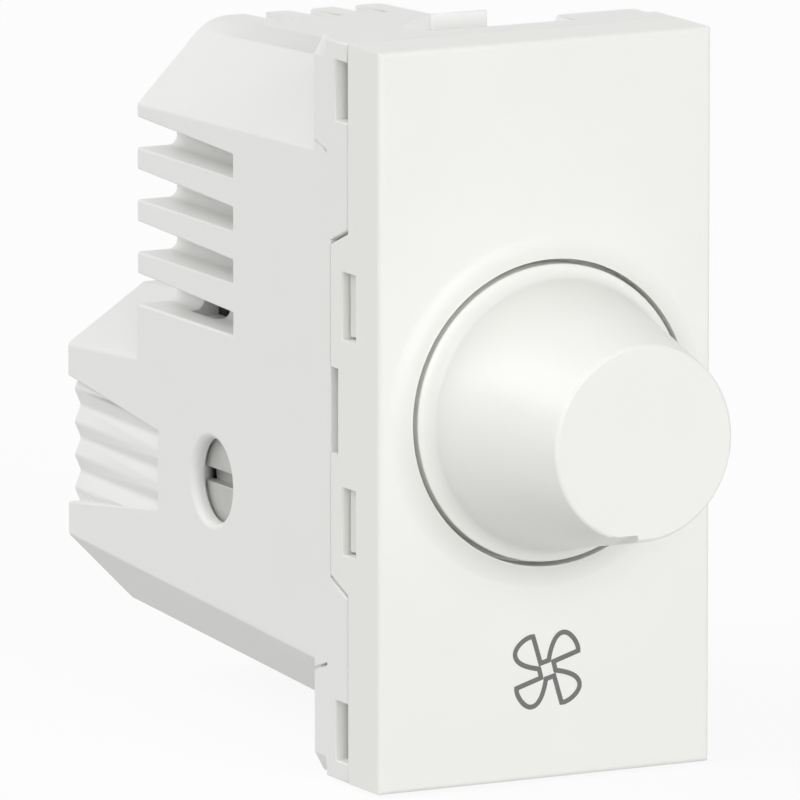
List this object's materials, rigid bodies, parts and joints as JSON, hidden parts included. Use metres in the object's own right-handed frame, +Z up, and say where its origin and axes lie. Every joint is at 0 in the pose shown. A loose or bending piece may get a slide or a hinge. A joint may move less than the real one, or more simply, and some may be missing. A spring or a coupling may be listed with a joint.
{
  "type": "fan speed control switch",
  "caption": "One-module rotary fan speed control: conical knob in a raised collar on a flat white cover, with a bevelled rear housing that snaps into a support frame.",
  "frame": {"origin": "middle of the flange's rear plane, on the knob's axis, where the device seats on its frame", "axes": "+Z up, front towards -Y, +Y into the wall, +X to the right seen from the front"},
  "size_m": [0.0226, 0.0546, 0.0454],
  "materials": {
    "cover_white": "fine satin moulding",
    "housing_white": "fine satin moulding",
    "knob_white": "smooth semi-gloss moulding",
    "clip_steel": "rolled spring strip",
    "shaft_nylon": "turned insulating shaft",
    "bushing_brass": "turned",
    "case_steel": "pressed and plated",
    "phenolic_brown": "punched laminate",
    "tinned_wire": "tinned",
    "carbon_black": "printed carbon",
    "rotor_nylon": "moulded",
    "contact_bronze": "rolled spring strip",
    "board_laminate": "coated laminate",
    "sink_aluminium": "extruded",
    "black_epoxy": "moulded epoxy",
    "tab_copper": "tinned copper",
    "screw_steel": "zinc plated",
    "ferrite_grey": "sintered and coated",
    "copper_wire": "enamelled copper",
    "capacitor_yellow": "moulded box",
    "capacitor_red": "dipped film",
    "resistor_beige": "lacquered",
    "diac_blue": "lacquered glass",
    "fuse_ceramic": "fired ceramic",
    "nickel_plate": "nickel plated brass",
    "terminal_brass": "stamped"
  },
  "bodies": {
    "base": {"front_cover": "cover_white", "rear_housing": "housing_white", "shaft_bushing": "bushing_brass", "potentiometer_case": "case_steel", "potentiometer_base": "phenolic_brown", "potentiometer_pins": "tinned_wire", "resistor_track": "carbon_black", "circuit_board": "board_laminate", "heat_sink": "sink_aluminium", "triac_case": "black_epoxy", "triac_tab": "tab_copper", "triac_screw": "screw_steel", "choke_core": "ferrite_grey", "choke_winding": "copper_wire", "suppression_capacitor": "capacitor_yellow", "timing_capacitor": "capacitor_red", "resistor_bodies": "resistor_beige", "resistor_leads": "tinned_wire", "diac": "diac_blue", "fuse_tube": "fuse_ceramic", "fuse_caps": "nickel_plate", "fuse_clips": "nickel_plate", "left_terminal_bar": "terminal_brass", "right_terminal_bar": "terminal_brass"},
    "control": {"knob": "knob_white", "knob_clip": "clip_steel", "control_shaft": "shaft_nylon", "wiper_rotor": "rotor_nylon", "wiper_contact": "contact_bronze"},
    "left_screw": {"left_terminal_screw": "screw_steel"},
    "left_cage": {"left_terminal_cage": "screw_steel"},
    "right_screw": {"right_terminal_screw": "screw_steel"},
    "right_cage": {"right_terminal_cage": "screw_steel"}
  },
  "joints": [
    {"name": "knob_turn", "type": "hinge", "parent": "base", "child": "control", "pos_m": [0, 0, 0], "axis": [0, 1, 0], "range_deg": [0, 270]},
    {"name": "left_screw_turn", "type": "hinge", "parent": "base", "child": "left_screw", "pos_m": [-0.0102, 0.0137, -0.007], "axis": [1, 0, 0], "range_deg": [0, 720]},
    {"name": "left_cage_rise", "type": "slide", "parent": "base", "child": "left_cage", "axis": [-1, 0, 0], "range_m": [0, 0.0012]},
    {"name": "right_screw_turn", "type": "hinge", "parent": "base", "child": "right_screw", "pos_m": [0.0102, 0.0137, -0.007], "axis": [-1, 0, 0], "range_deg": [0, 720]},
    {"name": "right_cage_rise", "type": "slide", "parent": "base", "child": "right_cage", "axis": [1, 0, 0], "range_m": [0, 0.0012]}
  ],
  "couplings": [
    {"joint": "left_screw_turn", "follows": "left_cage_rise", "rad_per_m": 10472},
    {"joint": "right_screw_turn", "follows": "right_cage_rise", "rad_per_m": 10472}
  ]
}
